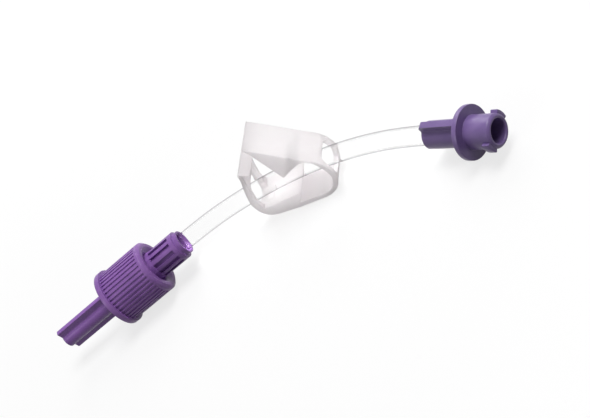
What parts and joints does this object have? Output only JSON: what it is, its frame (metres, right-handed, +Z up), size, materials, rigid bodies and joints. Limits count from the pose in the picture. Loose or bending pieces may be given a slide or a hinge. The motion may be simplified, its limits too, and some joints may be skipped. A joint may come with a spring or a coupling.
{
  "type": "extension line with pinch clamp",
  "caption": "Short clear extension line with a capped rotating lock connector, a socket connector with lock lugs and a sliding one-piece pinch clamp.",
  "frame": {"origin": "on the table under the centre of the line as it lies, at the middle of its bounding box", "axes": "+X from the capped lock connector to the socket connector, +Y towards the bow of the tube, +Z up"},
  "size_m": [0.1162, 0.0276, 0.0214],
  "materials": {
    "clear_tube": "clear flexible vinyl",
    "purple": "moulded, smooth",
    "blue_purple": "moulded, smooth",
    "milky": "moulded, translucent natural white"
  },
  "bodies": {
    "line": {"tube": "clear_tube", "male_connector": "purple", "female_connector": "blue_purple"},
    "collar": {"rotating_collar": "purple"},
    "cap": {"tip_cap": "purple"},
    "clamp": {"clamp_base": "milky", "clamp_latch_wall": "milky"},
    "lever": {"clamp_lever": "milky"}
  },
  "joints": [
    {"name": "collar_spin", "type": "hinge", "parent": "line", "child": "collar", "pos_m": [-0.03061, -0.00069, 0.00717], "axis": [-0.9201, -0.3916, 0], "continuous": true},
    {"name": "cap_pull", "type": "slide", "parent": "line", "child": "cap", "axis": [-0.9201, -0.3916, 0], "range_m": [0, 0.016]},
    {"name": "clamp_travel", "type": "hinge", "parent": "line", "child": "clamp", "pos_m": [0.01234, -0.07077, 0.00351], "axis": [0.0354, -0.0344, 0.9988], "range_deg": [-12, 13]},
    {"name": "clamp_press", "type": "hinge", "parent": "clamp", "child": "lever", "pos_m": [0.01782, 0.00963, 0.0083], "axis": [0.0087, -1, 0], "range_deg": [0, 29], "stiffness_Nm_per_rad": 0.02, "deforming": ["tube", "clamp_latch_wall"]}
  ]
}
